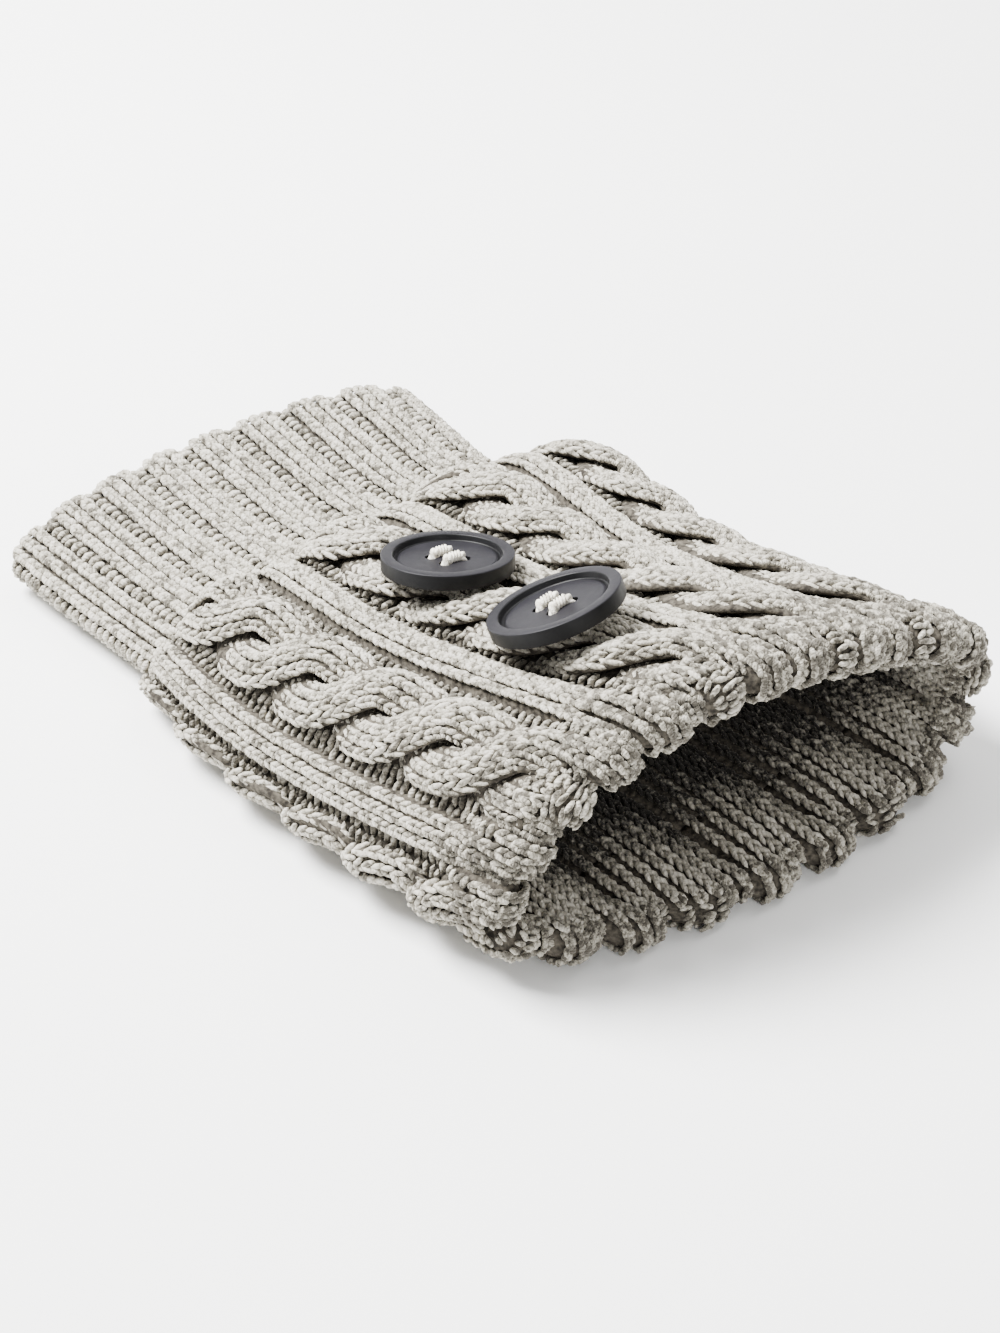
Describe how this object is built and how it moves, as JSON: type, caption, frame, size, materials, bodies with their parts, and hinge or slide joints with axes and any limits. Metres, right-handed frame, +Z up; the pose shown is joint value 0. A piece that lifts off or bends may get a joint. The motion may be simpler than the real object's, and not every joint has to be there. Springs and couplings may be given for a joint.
{
  "type": "knitted boot cuff",
  "caption": "Knitted tube with a flat ribbed band, a wider rope-cable body, a thick open hem and two sewn-on round buttons, lying on its back face.",
  "frame": {"origin": "centre of the bounding box at the surface it lies on", "axes": "+Y along the cuff from the hem to the ribbed band's free edge, +X across its width, +Z up from the surface it lies on"},
  "size_m": [0.131, 0.1778, 0.0531],
  "materials": {
    "oatmeal_yarn": "heather knitting yarn, matt with a fine fuzz",
    "charcoal_button": "moulded, soft sheen",
    "sewing_yarn": "off-white sewing yarn, matt"
  },
  "bodies": {
    "root": {"ribbed_band": "oatmeal_yarn", "cable_body": "oatmeal_yarn", "hem_edge": "oatmeal_yarn", "button_1": "charcoal_button", "button_2": "charcoal_button", "sewing_yarn_1_left": "sewing_yarn", "sewing_yarn_1_right": "sewing_yarn", "sewing_yarn_2_left": "sewing_yarn", "sewing_yarn_2_right": "sewing_yarn"}
  },
  "joints": []
}
